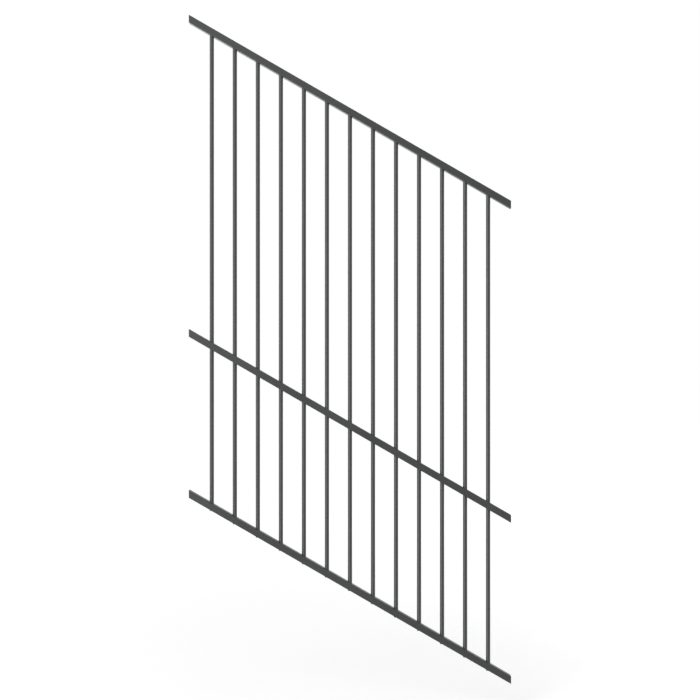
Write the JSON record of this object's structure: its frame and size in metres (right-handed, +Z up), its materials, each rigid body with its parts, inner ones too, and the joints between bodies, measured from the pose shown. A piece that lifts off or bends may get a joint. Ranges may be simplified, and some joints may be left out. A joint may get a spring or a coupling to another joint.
{
  "type": "raked pool fence panel",
  "caption": "Raked tubular fence panel for sloping ground: square rails at thirty degrees with plumb-cut ends, and round pickets standing plumb through them, welded.",
  "frame": {"origin": "middle of the panel: halfway along its length and its plumb height, in the plane of the pickets", "axes": "+X level along the panel towards its low end, +Y from the front to the back, +Z up along the pickets"},
  "size_m": [1.2, 0.025, 2.4928],
  "materials": {
    "powder_coat": "satin dark-grey powder coat over galvanised steel"
  },
  "bodies": {
    "root": {"top_rail": "powder_coat", "middle_rail": "powder_coat", "bottom_rail": "powder_coat", "picket_01": "powder_coat", "picket_02": "powder_coat", "picket_03": "powder_coat", "picket_04": "powder_coat", "picket_05": "powder_coat", "picket_06": "powder_coat", "picket_07": "powder_coat", "picket_08": "powder_coat", "picket_09": "powder_coat", "picket_10": "powder_coat", "picket_11": "powder_coat", "picket_12": "powder_coat", "picket_13": "powder_coat", "top_rail_welds": "powder_coat", "middle_rail_upper_welds": "powder_coat", "middle_rail_lower_welds": "powder_coat", "bottom_rail_welds": "powder_coat"}
  },
  "joints": []
}
